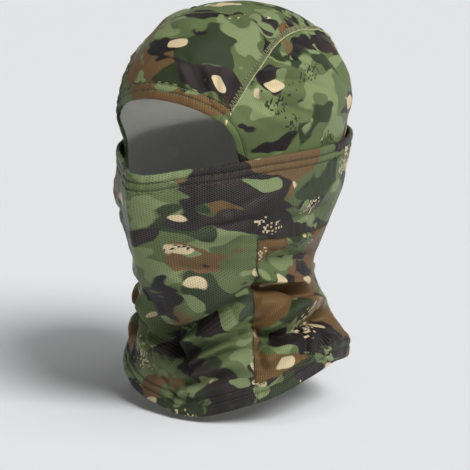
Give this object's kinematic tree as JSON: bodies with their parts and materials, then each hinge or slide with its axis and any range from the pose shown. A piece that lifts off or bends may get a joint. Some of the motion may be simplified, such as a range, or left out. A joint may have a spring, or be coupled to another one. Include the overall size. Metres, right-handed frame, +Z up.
{
  "type": "hooded face mask",
  "caption": "Close-fitting knitted hood with a pull-down face cover and a flared neck, printed in woodland camouflage.",
  "frame": {"origin": "inside of the crown, at the top of the hood, where it hangs on the head", "axes": "+Z up, -Y the way the face looks, +X the wearer's left"},
  "size_m": [0.1852, 0.2416, 0.3161],
  "materials": {
    "hood_knit": "fine ribbed polyester knit, printed with a woodland camouflage, soft sheen",
    "mesh_knit": "open hexagonal mesh knit, printed with a woodland camouflage, soft sheen",
    "side_knit": "fine diagonal rib knit, printed with a woodland camouflage, satin sheen",
    "hem_knit": "folded knit hem, printed, pressed flat by two rows of stitches",
    "thread": "twisted polyester thread, dull green",
    "elastic": "woven elastic tape, off-white"
  },
  "bodies": {
    "hood": {"crown_panel": "hood_knit", "side_panel_left": "hood_knit", "side_panel_right": "hood_knit", "crown_seam_left": "thread", "crown_seam_right": "thread", "brow_hem": "hem_knit", "brow_elastic": "elastic", "brow_stitch_lower": "thread", "brow_stitch_upper": "thread", "face_edge_hem_left": "hem_knit", "face_edge_hem_right": "hem_knit", "neck_front_panel": "mesh_knit", "neck_back_panel": "side_knit", "cross_seam": "thread", "neck_seam_left": "thread", "neck_seam_right": "thread", "bottom_hem": "hem_knit", "bottom_stitch_lower": "thread", "bottom_stitch_upper": "thread"},
    "face_cover": {"cover_hem": "hem_knit", "cover_elastic": "elastic", "cover_stitch_upper": "thread", "cover_stitch_lower": "thread", "face_cover_panel": "mesh_knit", "cover_back_seam": "thread"}
  },
  "joints": [
    {"name": "cover_pull_down", "type": "slide", "parent": "hood", "child": "face_cover", "axis": [0, 0, -1], "range_m": [0, 0.085]}
  ]
}
